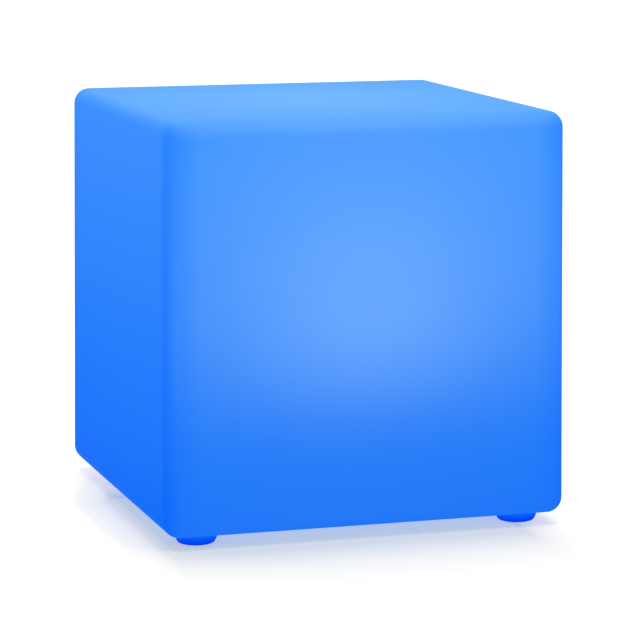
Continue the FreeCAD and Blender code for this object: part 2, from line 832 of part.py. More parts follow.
def make_socket():
    """Panel socket clamped to the plate from inside: sleeve, centre pin, washer and nut."""
    corners = [
        ("socket_bore_radius", cap_recess_floor),
        ("socket_flange_radius", cap_recess_floor),
        ("socket_flange_radius", socket_ledge),
        ("socket_barrel_radius", socket_ledge),
        ("socket_barrel_radius", socket_end),
        (f"{pin_root_radius} + moulded_gap", socket_end),
        (f"{pin_root_radius} + moulded_gap", bore_end),
        ("socket_bore_radius", bore_end),
    ]
    keep("charging_socket", turned("socket", corners, "socket_place"))

    pin_start = f"({cap_recess_floor} + pin_setback)"
    tip = "(socket_pin_radius * 0.5)"
    pin = turned("pin", [
        ("0", pin_start),
        (f"socket_pin_radius - {tip}", pin_start),
        ("socket_pin_radius", f"{pin_start} + {tip}"),
        ("socket_pin_radius", f"{bore_end} - hinge_gap"),
        (pin_root_radius, bore_end),
        (pin_root_radius, board_bottom),
        ("0", board_bottom),
    ], "socket_place")
    keep("socket_pin", pin)
    tab_height = f"({board_bottom} - {socket_end})"
    tab = block("tab", ("socket_pin_radius / 2", "2 * socket_pin_radius", tab_height),
                ("socket_place + socket_bore_radius", "0", socket_end))
    keep("socket_terminal", tab)

    washer = new_body("washer")
    ring_post(washer, "nut_across_flats / 2", "socket_barrel_radius + thread_gap", socket_seat,
              "washer_thickness", "socket_place")
    keep("socket_washer", washer)
    keep("socket_nut", hexagon_nut("nut", "nut_across_flats", "socket_barrel_radius + thread_gap",
                                   washer_top, "nut_height", "socket_place"))


def make_cap():
    """Rubber cap with a plug for the socket and a pull tab; it folds at the end of its strap."""
    cap = new_body("cap")
    round_post(cap, "cap_radius", cap_bottom, "cap_thickness", "socket_place")
    long_post(cap, "cap_hinge_reach", "cap_strap_width", cap_bottom, "cap_thickness",
              "socket_place + cap_hinge_reach / 2")
    sketch = new_sketch(cap, "XZ_Plane")
    draw_circle(sketch, "cap_thickness / 2", hinge_x, hinge_z)
    pad(cap, sketch, "cap_strap_width", symmetric=True)
    round_post(cap, "cap_plug_radius", cap_top, "cap_plug_length", "socket_place")
    tab_reach = "(cap_radius + cap_margin + cap_thickness)"
    long_post(cap, tab_reach, "cap_radius / 2", cap_bottom, "cap_thickness",
              f"socket_place - {tab_reach} / 2")
    keep("socket_cap", cap)

    anchor = new_body("anchor")
    long_post(anchor, "anchor_length", "cap_strap_width", cap_bottom, "cap_thickness", anchor_middle)
    round_post(anchor, "anchor_stem_radius", cap_top, f"{flange_top} + seat_gap - {cap_top}",
               anchor_middle)
    sketch = new_sketch(anchor, "XZ_Plane", across=anchor_middle)
    barb = f"({flange_top} + seat_gap)"
    draw_outline(sketch, [("0", barb), ("anchor_stem_radius * 1.35", barb),
                          ("anchor_stem_radius * 0.7", f"{barb} + anchor_stem_radius"),
                          ("0", f"{barb} + anchor_stem_radius")])
    revolve(anchor, sketch)
    keep("cap_anchor", anchor)


# ---------------------------------------------------------------- control board


def make_control_board():
    board = new_body("board")
    long_post(board, "board_length", "board_width", board_bottom, "board_thickness")
    round_edges(board, lambda edge: edge.Length < amount("board_thickness") + CLOSE,
                "board_hole_inset / 2")
    quarter_holes(board, board_hole_x, board_hole_y, "fine_screw_radius + thread_gap", board_bottom,
                  "board_thickness")
    keep("control_board", board)

    parts = [
        block("controller", ("chip_length", "chip_length * 0.8", "chip_height"),
              ("-board_length * 0.08", "board_width * 0.04", board_top)),
        block("charger_chip", ("chip_length * 0.6", "chip_length * 0.5", "chip_height"),
              ("board_length * 0.23", "-board_width * 0.16", board_top)),
        block("coil", ("coil_width", "coil_width", "coil_height"),
              ("board_length * 0.27", "board_width * 0.08", board_top)),
        block("indicator_lamp", ("2 * indicator_radius", "indicator_radius", "lamp_chip_height"),
              ("0", "-indicator_place", f"{board_bottom} - lamp_chip_height")),
    ]
    for side in (-1, 1):
        parts.append(cylinder(f"capacitor_{side + 1}", "capacitor_radius", "capacitor_height",
                              ("board_length * 0.39", f"{side} * board_width * 0.15", board_top)))
    for number in range(3):
        parts.append(block(f"driver_{number}", ("chip_length / 2", "chip_length * 0.6", "chip_height"),
                           (f"(-0.38 + 0.1 * {number}) * board_length", "board_width * 0.24",
                            board_top)))
    keep("board_components", gather("component_group", parts))

    plugs = [block(f"plug_{side}", ("connector_length", "connector_width", "connector_height"),
                   ("0", f"{side} * connector_place", board_top)) for side in (-1, 1)]
    keep("board_connectors", gather("plug_group", plugs))

    screws, features = pan_screw(
        "board_screw", "fine_screw_radius", "fine_head_radius", "fine_head_height",
        board_top, "fine_screw_length", 1, board_hole_x, board_hole_y)
    four_ways(screws, features)
    keep("board_screws", screws)

    pipe_top = f"({board_bottom} - lamp_chip_height - seat_gap)"
    pipe = turned("light_pipe", [
        ("0", flange_bottom),
        ("indicator_radius", flange_bottom),
        ("indicator_radius", flange_top),
        ("indicator_radius * 1.5", flange_top),
        ("indicator_radius * 1.5", f"{flange_top} + housing_wall / 2"),
        ("indicator_radius", f"{flange_top} + housing_wall / 2"),
        ("indicator_radius", pipe_top),
        ("0", pipe_top),
    ], "0", "indicator_place")
    keep("charge_indicator", pipe)


# ---------------------------------------------------------------- battery


def stadium(body, feature, radius, level, height):
    """The outline round both cells, added (pad) or cut (pocket) in two steps."""
    sketch = new_sketch(body, height=level)
    for side in (-1, 1):
        draw_circle(sketch, radius, f"{side} * cell_spacing / 2")
    feature(body, sketch, height)
    sketch = new_sketch(body, height=level)
    draw_rectangle(sketch, "cell_spacing", f"2 * ({radius})")
    feature(body, sketch, height)


def half_cut(body, side, edge, level, height):
    """Takes away the front (-1) or the back (1) of the outline round both cells."""
    depth = f"({strap_inner} + strap_thickness)"
    long_pocket(body, f"cell_spacing + 3 * {depth}", depth, level, height, "0",
                f"{side} * ({edge} + {depth} / 2)")


def make_battery():
    tray = new_body("tray")
    long_post(tray, "tray_length", "tray_width", tray_bottom, "tray_thickness")
    round_edges(tray, lambda edge: edge.Length < amount("tray_thickness") + CLOSE, "tray_hole_inset")
    quarter_holes(tray, tray_hole_x, tray_hole_y, "fine_screw_radius + thread_gap", tray_bottom,
                  "tray_thickness")
    for side in (-1, 1):
        round_pocket(tray, "lead_hole_radius", tray_bottom, "tray_thickness", "0",
                     f"{side} * connector_place")
    stadium(tray, pad, cradle_outer, tray_top, "cradle_height")
    stadium(tray, pocket, cradle_inner, tray_top, "cradle_height")
    cup_top = f"({tray_top} + cup_height)"
    half_cut(tray, -1, "0", cup_top, "cradle_height - cup_height")
    keep("battery_tray", tray)
    screws, features = pan_screw(
        "tray_screw", "fine_screw_radius", "fine_head_radius", "fine_head_height",
        tray_top, "fine_screw_length", 1, tray_hole_x, tray_hole_y)
    four_ways(screws, features)
    keep("tray_screws", screws)

    cover = new_body("cover")
    cover_height = "cradle_height - cup_height - seat_gap"
    stadium(cover, pad, cradle_outer, f"{cup_top} + seat_gap", cover_height)
    stadium(cover, pocket, cradle_inner, f"{cup_top} + seat_gap", cover_height)
    half_cut(cover, 1, "-seat_gap", f"{cup_top} + seat_gap", cover_height)
    keep("battery_cover", cover)

    straps = new_body("straps")
    for place in ("strap_low", "strap_high"):
        level = f"({tray_top} + {place})"
        stadium(straps, pad, f"{strap_inner} + strap_thickness", level, "strap_width")
        stadium(straps, pocket, strap_inner, level, "strap_width")
        long_post(straps, "1.6 * strap_width", "2 * strap_thickness", f"{level} - strap_thickness / 2",
                  "strap_width + strap_thickness", "0", f"-({strap_inner} + strap_thickness * 1.5)")
    keep("battery_straps", straps)

    cells = []
    for side in (-1, 1):
        edge = "cell_radius * 0.06"
        cells.append(turned(f"cell_{side + 1}", [
            ("0", cell_bottom),
            (f"cell_radius - {edge}", cell_bottom),
            ("cell_radius", f"{cell_bottom} + {edge}"),
            ("cell_radius", f"{cell_top} - 6 * {edge}"),
            (f"cell_radius - {edge}", f"{cell_top} - 5 * {edge}"),
            (f"cell_radius - {edge}", f"{cell_top} - 4 * {edge}"),
            ("cell_radius", f"{cell_top} - 3 * {edge}"),
            ("cell_radius", f"{cell_top} - {edge}"),
            (f"cell_radius - {edge}", cell_top),
            ("0", cell_top),
        ], f"{side} * cell_spacing / 2"))
    keep("battery_cells", gather("cell_group", cells))

    wrap = new_body("wrap")
    stadium(wrap, pad, wrap_outer, f"{cell_bottom} + wrap_inset", "cell_length - 2 * wrap_inset")
    stadium(wrap, pocket, wrap_inner, f"{cell_bottom} + wrap_inset", "cell_length - 2 * wrap_inset")
    keep("battery_wrap", wrap)

    links = [block("link", ("cell_spacing + link_width", "link_width", "link_thickness"),
                   ("0", "0", tray_top))]
    for side in (-1, 1):
        links.append(block(f"tab_{side + 1}", ("link_width", "1.4 * link_width", "link_thickness"),
                           (f"{side} * cell_spacing / 2", "0", cell_top)))
    keep("cell_links", gather("link_group", links))


# ---------------------------------------------------------------- leads


def round_lead(route, radius, bend):
    """A wire along a route whose corners are rounded by tangent arcs.

    The arcs need the angles of the corners, so leads are worked out from the sizes as plain numbers.
    """
    edges = []
    start = route[0]
    for before, corner, after in zip(route, route[1:], route[2:]):
        inward = (corner - before).normalize()
        outward = (after - corner).normalize()
        half_turn = inward.getAngle(outward) / 2
        reach = bend * math.tan(half_turn)
        first = corner - inward * reach
        last = corner + outward * reach
        centre = corner + (outward - inward).normalize() * (bend / math.cos(half_turn))
        middle = centre + (corner - centre).normalize() * bend
        edges.append(Part.LineSegment(start, first).toShape())
        edges.append(Part.Arc(first, middle, last).toShape())
        start = last
    edges.append(Part.LineSegment(start, route[-1]).toShape())
    path = Part.Wire(edges)
    ring = Part.Circle(route[0], route[1] - route[0], radius).toShape()
    return path.makePipeShell([Part.Wire([ring])], True, True)


def lead_group(label, routes, radius, bend):
    group = doc.addObject("Part::Feature", label)
    group.Shape = Part.makeCompound([round_lead(route, radius, bend) for route in routes])
    return group


def make_leads():
    """Two leads from the cells down to the control board, four from there up to the light board."""
    plug_top = amount(f"{board_top} + connector_height")
    reach = amount("connector_place")
    radius = amount("lead_radius")
    tab_level = amount(f"{cell_top} + link_thickness + lead_radius")
    routes = []
    for side in (-1, 1):
        tab_x = side * amount("cell_spacing / 2")
        drop_x = side * amount("lead_spacing / 2")
        routes.append([FreeCAD.Vector(tab_x, -amount("link_width / 2"), tab_level),
                       FreeCAD.Vector(drop_x, -reach, tab_level),
                       FreeCAD.Vector(drop_x, -reach, plug_top)])
    keep("battery_leads", lead_group("battery_lead_group", routes, radius, amount("lead_bend")))

    top = amount(light_board_top)
    rise = top - plug_top
    slack = amount("lead_slack")
    pitch = amount("connector_length") / 5
    routes = []
    for number in range(4):
        across = (number - 1.5) * pitch
        routes.append([FreeCAD.Vector(across, reach, plug_top),
                       FreeCAD.Vector(across, reach, plug_top + rise * 0.2),
                       FreeCAD.Vector(across, reach + slack, plug_top + rise * 0.5),
                       FreeCAD.Vector(across, reach, plug_top + rise * 0.8),
                       FreeCAD.Vector(across, reach, top)])
    keep("light_leads", lead_group("light_lead_group", routes, radius * 0.8, rise / 4))


# ---------------------------------------------------------------- light board and dome


def make_light_board():
    board = new_body("light_board")
    round_post(board, "light_board_radius", deck_top, "light_board_thickness")
    round_pocket(board, "lead_hole_radius", deck_top, "light_board_thickness", "0", "connector_place")
    hole = round_pocket(board, "fine_screw_radius + thread_gap", deck_top, "light_board_thickness",
                        "light_hole_circle")
    around(board, [hole], "4")
    keep("led_board", board)

    packages = []
    for ring, count in (("light_ring_outer", "12"), ("light_ring_inner", "6")):
        lamp = new_body("lamp_" + ring[11:])
        body_pad = long_post(lamp, "package_width", "package_width", light_board_top,
                             "package_height", ring)
        window = round_pocket(lamp, "package_width * 0.38", f"{light_board_top} + package_height * 0.8",
                              "package_height * 0.2", ring)
        around(lamp, [body_pad, window], count)
        packages.append(lamp)
    keep("led_packages", gather("package_group", packages))

    screws, features = pan_screw(
        "light_screw", "fine_screw_radius", "fine_head_radius", "fine_head_height",
        light_board_top, "fine_screw_length", 1, "light_hole_circle")
    around(screws, features, "4")
    keep("led_board_screws", screws)

    plug = block("light_plug", ("connector_length", "connector_width", "package_height * 2"),
                 ("0", "connector_place", light_board_top))
    keep("led_board_connector", plug)

    middle = "(-(light_ring_outer + light_ring_inner) / 2)"
    base = block("receiver_base", ("receiver_width", "receiver_width", "receiver_height"),
                 ("0", middle, light_board_top))
    lens = doc.addObject("Part::Sphere", "receiver_lens")
    lens.setExpression("Radius", bound("receiver_width * 0.38"))
    lens.setExpression("Placement.Base.y", bound(middle))
    lens.setExpression("Placement.Base.z", bound(f"{light_board_top} + receiver_height"))
    keep("remote_receiver", join("receiver", [base, lens]))


def make_dome():
    """Frosted dome over the light board, its flange screwed down on a flat ring seal."""
    dome = new_body("dome")
    sketch = new_sketch(dome, "XZ_Plane")
    outer_foot = (f"{dome_inner} + dome_wall", dome_flange_top)
    inner_foot = (dome_inner, f"{dome_flange_top} - dome_wall / 2")
    outer_top = ("0", f"{dome_flange_top} + dome_rise")
    inner_top = ("0", f"{dome_flange_top} + dome_rise - dome_wall")
    chain = [outer_top, inner_top, inner_foot, (dome_inner, dome_flange_bottom),
             (housing_radius, dome_flange_bottom), (housing_radius, dome_flange_top), outer_foot]
    points = [FreeCAD.Vector(amount(across), amount(up), 0) for across, up in chain]
    arcs = {1: (inner_top, inner_foot), 6: (outer_top, outer_foot)}
    for index, (start, end) in enumerate(zip(points, points[1:] + points[:1])):
        if index not in arcs:
            sketch.addGeometry(Part.LineSegment(start, end))
            continue
        crown, foot = (start, end) if start.x < end.x else (end, start)
        height = crown.y - foot.y
        radius = (foot.x ** 2 + height ** 2) / (2 * height)
        centre = FreeCAD.Vector(0, crown.y - radius, 0)
        towards = FreeCAD.Vector(foot.x / 2, (crown.y + foot.y) / 2, 0) - centre
        sketch.addGeometry(Part.Arc(start, centre + towards.normalize() * radius, end))
    for index, (across, up) in enumerate(chain):
        before = (index - 1) % len(chain)
        start_point = sketch.getPoint(index, 1)
        position = 1 if start_point.distanceToPoint(points[index]) < CLOSE else 2
        last_point = sketch.getPoint(before, 2)
        other = 2 if last_point.distanceToPoint(points[index]) < CLOSE else 1
        sketch.addConstraint(Sketcher.Constraint("Coincident", before, other, index, position))
        hold_point(sketch, index, position, across, up)
    for index in arcs:
        sketch.addConstraint(Sketcher.Constraint("DistanceX", -1, 1, index, 3, 0))
    revolve(dome, sketch)
    hole = round_pocket(dome, "fine_screw_radius + thread_gap", dome_flange_bottom,
                        "dome_flange_thickness", dome_screw_circle)
    around(dome, [hole], "dome_screw_count")
    keep("light_dome", dome)

    seal = new_body("dome_ring")
    ring_post(seal, housing_radius, dome_inner, deck_top, "dome_seal_thickness")
    hole = round_pocket(seal, "fine_screw_radius + thread_gap", deck_top, "dome_seal_thickness",
                        dome_screw_circle)
    around(seal, [hole], "dome_screw_count")
    keep("dome_seal", seal)

    reach = "(dome_flange_thickness + dome_seal_thickness + fine_screw_length)"
    screws, features = pan_screw(
        "dome_screw", "fine_screw_radius", "fine_head_radius", "fine_head_height",
        dome_flange_top, reach, 1, dome_screw_circle)
    around(screws, features, "dome_screw_count")
    keep("dome_screws", screws)


# ---------------------------------------------------------------- build and write

for make in (make_shell, make_feet, make_flange_fastening, make_base_plate, make_housing,
             make_button, make_socket, make_cap, make_control_board, make_battery, make_leads,
             make_light_board, make_dome):
    make()
doc.recompute()

os.makedirs("parts", exist_ok=True)
for item in doc.Objects:
    if "Invalid" in item.State or "Error" in item.State:
        raise ValueError(item.Label + " failed: " + str(item.State))
for node, piece in PIECES.items():
    if piece.Shape.isNull() or not piece.Shape.isValid() or not piece.Shape.Solids:
        raise ValueError(node + " has no valid solid")
for node, piece in PIECES.items():
    piece.Shape.exportStep(f"parts/{node}.step")
    print(node, len(piece.Shape.Solids), round(piece.Shape.Volume / 1000, 2), "cm3")
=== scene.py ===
# %% [markdown]
# # A cordless cube light
# The object is a hollow cube of milky polyethylene, rotomoulded, with soft round edges and a little
# draft. Coloured lamps inside make the whole wall glow. It stands on four soft feet, and a round
# module closes its underside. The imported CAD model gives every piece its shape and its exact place,
# so this lesson adds no shape to the object. It gives the pieces their finish, and sets up the
# stage, the light and the camera.

# %% Load the frame
import bpy
import math
from mathutils import Matrix, Vector


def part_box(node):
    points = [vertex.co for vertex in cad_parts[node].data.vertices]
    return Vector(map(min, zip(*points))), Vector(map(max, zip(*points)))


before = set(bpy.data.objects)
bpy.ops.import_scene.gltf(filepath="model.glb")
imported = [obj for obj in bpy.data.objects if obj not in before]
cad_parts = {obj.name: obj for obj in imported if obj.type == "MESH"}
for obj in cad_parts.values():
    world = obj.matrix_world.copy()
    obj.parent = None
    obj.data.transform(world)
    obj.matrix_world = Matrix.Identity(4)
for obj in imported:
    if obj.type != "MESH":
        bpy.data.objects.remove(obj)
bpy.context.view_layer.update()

# %% [markdown]
# The sizes that the finishes need are read off the frame, so that they follow the CAD model. The
# shell gives its width and its height above the ground, and the lamps on the light board give the
# height from which the light comes inside the cube.

# %% Read the main places from the frame
MM = 0.001
shell_low, shell_high = (Vector(corner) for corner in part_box("cube_shell"))
half_width = (shell_high.x - shell_low.x) / 2
lamp_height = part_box("led_packages")[1].z
print("shell from", round(shell_low.z / MM, 1), "to", round(shell_high.z / MM, 1), "mm above ground")
print("lamps at", round(lamp_height / MM, 1), "mm above ground")


# %% [markdown]
# Colours are written as the hex values one would pick from a colour chart. Blender mixes light in
# linear values, so one function turns each channel from its screen value to a linear one. The
# numbers in it are those of the sRGB standard.

# %% Colours
def linear(hex_colour, alpha=1.0):
    channels = []
    for start in (1, 3, 5):
        value = int(hex_colour[start:start + 2], 16) / 255
        channels.append(value / 12.92 if value <= 0.04045 else ((value + 0.055) / 1.055) ** 2.4)
    return (*channels, alpha)


print("mid grey is", [round(value, 3) for value in linear("#808080")], "in linear light")


# %% [markdown]
# A material is a small network of nodes. One function adds a node, fills its sockets and hands back
# the output that is asked for, so that each material below reads as a short recipe. A value that is
# another node's output is linked; anything else is set on the socket or the setting itself. The Mix
# node has several sockets of one name, so they go by number: its two plain values are _2 and _3, its
# two colours are _6 and _7, and a mixed colour comes out of its output 2.

# %% A helper that adds a node
def add(tree, kind, *values, out=0, **named):
    """Adds a node. Values fill its sockets in order, named ones a socket or a setting."""
    made = tree.nodes.new("ShaderNode" + kind)
    for name, value in named.items():
        if name[0].islower():
            setattr(made, name, value)
    sockets = [(made.inputs[i], value) for i, value in enumerate(values)]
    for name, value in named.items():
        if name[0] == "_":
            sockets.append((made.inputs[int(name[1:])], value))
        elif name[0].isupper():
            sockets.append((made.inputs[name.replace("_", " ")], value))
    for socket, value in sockets:
        if isinstance(value, bpy.types.NodeSocket):
            tree.links.new(value, socket)
        else:
            socket.default_value = value
    return made.outputs[out]


# %% [markdown]
# Every finish starts from the same place: a Principled shader with its constant values set straight
# on its sockets, where an exported model can read them. Patterns are linked to it afterwards.

# %% Start and wear a material
def start_finish(name, colour, roughness, **constants):
    """A new material with these constant values; returns the material, its tree and its shader."""
    material = bpy.data.materials.new(name)
    material.use_nodes = True
    shader = material.node_tree.nodes["Principled BSDF"]
    shader.inputs["Base Color"].default_value = linear(colour)
    shader.inputs["Roughness"].default_value = roughness
    for socket, value in constants.items():
        shader.inputs[socket.replace("_", " ")].default_value = value
    return material, material.node_tree, shader


def feed(tree, shader, **outputs):
    """Links outputs to the shader's sockets of these names."""
    for socket, output in outputs.items():
        tree.links.new(output, shader.inputs[socket.replace("_", " ")])


def dress(material, *names):
    """Gives CAD nodes a finish in place of the plain one they came with."""
    for name in names:
        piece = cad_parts[name]
        piece.data.materials.clear()
        piece.data.materials.append(material)
    print(material.name, "on", ", ".join(names))


# %% [markdown]
# ## Camera
# The photograph was taken from about three metres away with a long lens: the cube's sides hardly
# converge. The place, the turn, the tilt and the lens were worked out together from the outline of
# the cube, whose opposite edges are alike on the real object. No lens shift is needed. The render is
# square, as the photograph is, so the sensor is made square too.

# %% Camera
CAMERA_PLACE = Vector((-0.88201, -2.84354, 0.67278))
CAMERA_TURN = 17.4495
CAMERA_TILT = 9.4081
CAMERA_ROLL = -0.0879
LENS_MM = 168.94
SENSOR_MM = 36.0
VIEW_DISTANCE = 100

camera_data = bpy.data.cameras.new("camera")
camera_data.lens = LENS_MM
camera_data.sensor_width = SENSOR_MM
camera_data.sensor_height = SENSOR_MM
camera_data.clip_end = VIEW_DISTANCE
camera = bpy.data.objects.new("camera", camera_data)
bpy.context.scene.collection.objects.link(camera)
turn = Matrix.Rotation(math.radians(-CAMERA_TURN), 4, "Z")
tilt = Matrix.Rotation(math.radians(90 - CAMERA_TILT), 4, "X")
roll = Matrix.Rotation(math.radians(-CAMERA_ROLL), 4, "Z")
camera.matrix_world = Matrix.Translation(CAMERA_PLACE) @ turn @ tilt @ roll
bpy.context.scene.camera = camera
bpy.context.scene.view_settings.view_transform = "Standard"
print("camera looks along", [round(v, 3) for v in camera.matrix_world.to_3x3() @ Vector((0, 0, -1))])


# %% [markdown]
# ## Stage and light
# Floor and background are pure white to the eye, but real light of that strength would wash out the
# object. So their whiteness is a glow that is only there when it is looked at: by the camera, in a
# reflection or through a clear piece. The light that falls on the object stays at a plain level.
# Floor and sky both ask this function what kind of ray has met them.

# %% What is looked at
def looked_at(tree):
    """1 for a ray of the camera, of a reflection or through a clear piece, 0 for falling light."""
    rays = add(tree, "LightPath").node.outputs
    seen = add(tree, "Math", rays["Is Camera Ray"], rays["Is Glossy Ray"], operation="MAXIMUM")
    return add(tree, "Math", seen, rays["Is Transmission Ray"], operation="MAXIMUM")


# %% [markdown]
# The floor is pale and matt. It takes the real shadow and a little blue light of the cube. In the
# photograph it fades to the white of the background within about 150 mm in front of the cube, 50 mm to
# its left and 25 mm to its right. Lamps alone give no such close shadow on so bright a floor, so the
# rest of that shadow is painted, as a glow that is dim and tinted near the cube and grows to white
# further off. It grows with the distance from a rectangle that is nearly the cube's footprint and stops
# 50 mm short of it on the right, and it grows six times as fast to the sides as to the front. From a
# little behind the middle of the cube it also grows towards the back, twice as fast as to the front.

# %% Painted shadow of the floor
SHADE_SIZE = (half_width - 0.027, half_width + 0.003, 0)
SHADE_SHIFT = (0.023, -0.012, 0)
SIDE_FADE = 6.1
BACK_FADE = 2.1
BACK_START = 0.035
PAINTED_SHADOW_STEPS = (
    (0.0, "#AFB5A4"), (0.02, "#A5A9A1"), (0.045, "#AFB2A8"), (0.08, "#BEBCB2"),
    (0.11, "#C5C2B6"), (0.16, "#CAC7BA"), (0.25, "#D8D4C4"), (0.6, "#FFFFFF"),
)


def distance_from_shade(tree):
    """The distance of each point of the floor from the rectangle, as the painted shadow counts it."""
    place = add(tree, "TexCoord", out="Object")
    spot = add(tree, "VectorMath", place, SHADE_SHIFT, operation="ADD")
    spot = add(tree, "VectorMath", spot, operation="ABSOLUTE")
    beyond = add(tree, "VectorMath", spot, SHADE_SIZE, operation="SUBTRACT")
    beyond = add(tree, "VectorMath", beyond, (0, 0, 0), operation="MAXIMUM")
    beyond = add(tree, "VectorMath", beyond, (SIDE_FADE, 1, 1), operation="MULTIPLY")
    away = add(tree, "VectorMath", beyond, operation="LENGTH", out="Value")
    depth = add(tree, "SeparateXYZ", place, out="Y")
    behind = add(tree, "Math", depth, BACK_START, operation="SUBTRACT")
    behind = add(tree, "Math", behind, 0.0, operation="MAXIMUM")
    return add(tree, "Math", behind, BACK_FADE, away, operation="MULTIPLY_ADD")


print("the fade has", len(PAINTED_SHADOW_STEPS), "steps over", PAINTED_SHADOW_STEPS[-1][0], "m")


# %% [markdown]
# The floor is like matt painted board: pale, rough and without gloss. A colour ramp turns the distance
# into the glow with its painted shadow, with the steps joined by a smooth curve. New stops of a ramp
# start in its middle, and each then gets its own place and colour.

# %% Floor material
def make_floor_material():
    material, tree, shader = start_finish("matt_white_floor", "#BCBCBC", 0.9, Specular_IOR_Level=0.0)
    painted_shadow = add(tree, "ValToRGB", distance_from_shade(tree))
    ramp = painted_shadow.node.color_ramp
    ramp.interpolation = "CARDINAL"
    while len(ramp.elements) < len(PAINTED_SHADOW_STEPS):
        ramp.elements.new(0.5)
    for element, (distance, colour) in zip(ramp.elements, PAINTED_SHADOW_STEPS):
        element.position = distance
        element.color = linear(colour)
    feed(tree, shader, Emission_Color=painted_shadow, Emission_Strength=looked_at(tree))
    return material


print("the glow of the floor runs from", PAINTED_SHADOW_STEPS[0][1], "to", PAINTED_SHADOW_STEPS[-1][1])

# %% [markdown]
# The floor itself is one flat square. It is so wide that its far edge lies where floor and sky are
# both white, so that no line shows.

# %% Floor
FLOOR_REACH = 6.0

floor_mesh = bpy.data.meshes.new("floor")
corners = [(-FLOOR_REACH, -FLOOR_REACH, 0), (FLOOR_REACH, -FLOOR_REACH, 0),
           (FLOOR_REACH, FLOOR_REACH, 0), (-FLOOR_REACH, FLOOR_REACH, 0)]
floor_mesh.from_pydata(corners, [], [(0, 1, 2, 3)])
floor = bpy.data.objects.new("floor", floor_mesh)
bpy.context.scene.collection.objects.link(floor)
floor.data.materials.append(make_floor_material())
print("floor is", 2 * FLOOR_REACH, "m wide")

# %% [markdown]
# The room is one even white sky, which looks pure white and lights the object at a lower level. A
# wide softbox overhead gives the floor the rest of its light, so that the shadow gathers close to
# the cube.

# %% Sky and softbox
SKY_LEVEL = 0.4
SOFTBOX_SIZE = 2.4
SOFTBOX_HEIGHT = 2.6
SOFTBOX_WATTS = 52

world = bpy.data.worlds.new("white_room")
bpy.context.scene.world = world
world.use_nodes = True
sky_tree = world.node_tree
sky = sky_tree.nodes["Background"]
sky.inputs["Color"].default_value = (1, 1, 1, 1)
sky_level = add(sky_tree, "MapRange", looked_at(sky_tree), To_Min=SKY_LEVEL, To_Max=1.0)
sky_tree.links.new(sky_level, sky.inputs["Strength"])

softbox_data = bpy.data.lights.new("softbox", "AREA")
softbox_data.shape = "SQUARE"
softbox_data.size = SOFTBOX_SIZE
softbox_data.energy = SOFTBOX_WATTS
softbox = bpy.data.objects.new("softbox", softbox_data)
bpy.context.scene.collection.objects.link(softbox)
softbox.location = (0, 0, SOFTBOX_HEIGHT)
print("softbox", SOFTBOX_WATTS, "W over a sky of", SKY_LEVEL)

# %% [markdown]
# ## The glowing shell
# Rotomoulded polyethylene is cloudy: light that enters the wall scatters and leaves in all
# directions, so each spot of the wall glows by how much lamp light reaches it from inside. That is
# ordinary lamp arithmetic: a small lamp that faces up sends most light upwards, and a wall gets less
# the further away and the more aslant it is. Simulating the scattering would be slow and noisy and
# would be lost on export, so the material works the sum out for each point of the wall and glows by
# it.

# %% Lamp light on the wall
LAMP_SPREAD = 0.0283
LAMP_REACH = 0.2
LAMP_SOFTNESS = 0.3415


def lamp_light(tree, place, normal):
    """Light from the lamps at each point of the wall: about 1 at LAMP_REACH straight above them."""
    offset = add(tree, "VectorMath", place, (0, 0, lamp_height), operation="SUBTRACT")
    distance = add(tree, "VectorMath", offset, operation="LENGTH", out="Value")
    away = add(tree, "VectorMath", offset, operation="NORMALIZE")
    upward = add(tree, "SeparateXYZ", away, out="Z")
    upward = add(tree, "Math", upward, 0.0, LAMP_SOFTNESS, operation="SMOOTH_MAX")
    sent = add(tree, "Math", upward, LAMP_SPREAD, operation="ADD")
    facing = add(tree, "VectorMath", away, normal, operation="DOT_PRODUCT", out="Value")
    caught = add(tree, "Math", facing, 0.0, operation="MAXIMUM")
    near = add(tree, "Math", LAMP_REACH, distance, operation="DIVIDE")
    near = add(tree, "Math", near, 2.0, operation="POWER")
    light = add(tree, "Math", sent, caught, operation="MULTIPLY")
    return add(tree, "Math", light, near, operation="MULTIPLY")


print("the light is measured against", LAMP_REACH, "m above the lamps")

# %% [markdown]
# In the photograph the front has a bright spot, the top is bright all over and the side shows no
# spot at all. So the front and the back take the lamp light as it comes, the top takes a smaller
# share of it and an even light besides, as the dome spreads it, and the sides take none. The squares
# of the normal's parts are the shares: they add up to 1 wherever the wall does not look down, and
# they pass softly into each other round an edge.

# %% Shares of the faces
TOP_EVEN = 0.174
TOP_GAIN = 0.416


def spot_on_faces(tree, place, normal, front):
    """The lamps' bright spot on the front and the back, and the evener light of the top."""
    light = lamp_light(tree, place, normal)
    top = add(tree, "Math", add(tree, "SeparateXYZ", normal, out="Z"), 0.0, operation="MAXIMUM")
    top = add(tree, "Math", top, top, operation="MULTIPLY")
    crown = add(tree, "Math", light, TOP_GAIN, TOP_EVEN, operation="MULTIPLY_ADD")
    crown = add(tree, "Math", crown, top, operation="MULTIPLY")
    return add(tree, "Math", light, front, crown, operation="MULTIPLY_ADD")


print("the top takes", TOP_GAIN, "of the lamp light and", TOP_EVEN, "besides")

# %% [markdown]
# Along each upright edge the plastic flows thicker into the mould, so that less light comes through.
# A band some 43 mm wide on either side of the edge darkens softly towards it, and more so near the
# top, where the edge is furthest from the lamps.

# %% Upright edges
EDGE_BAND = 0.0426
EDGE_CLIMB = 0.4075


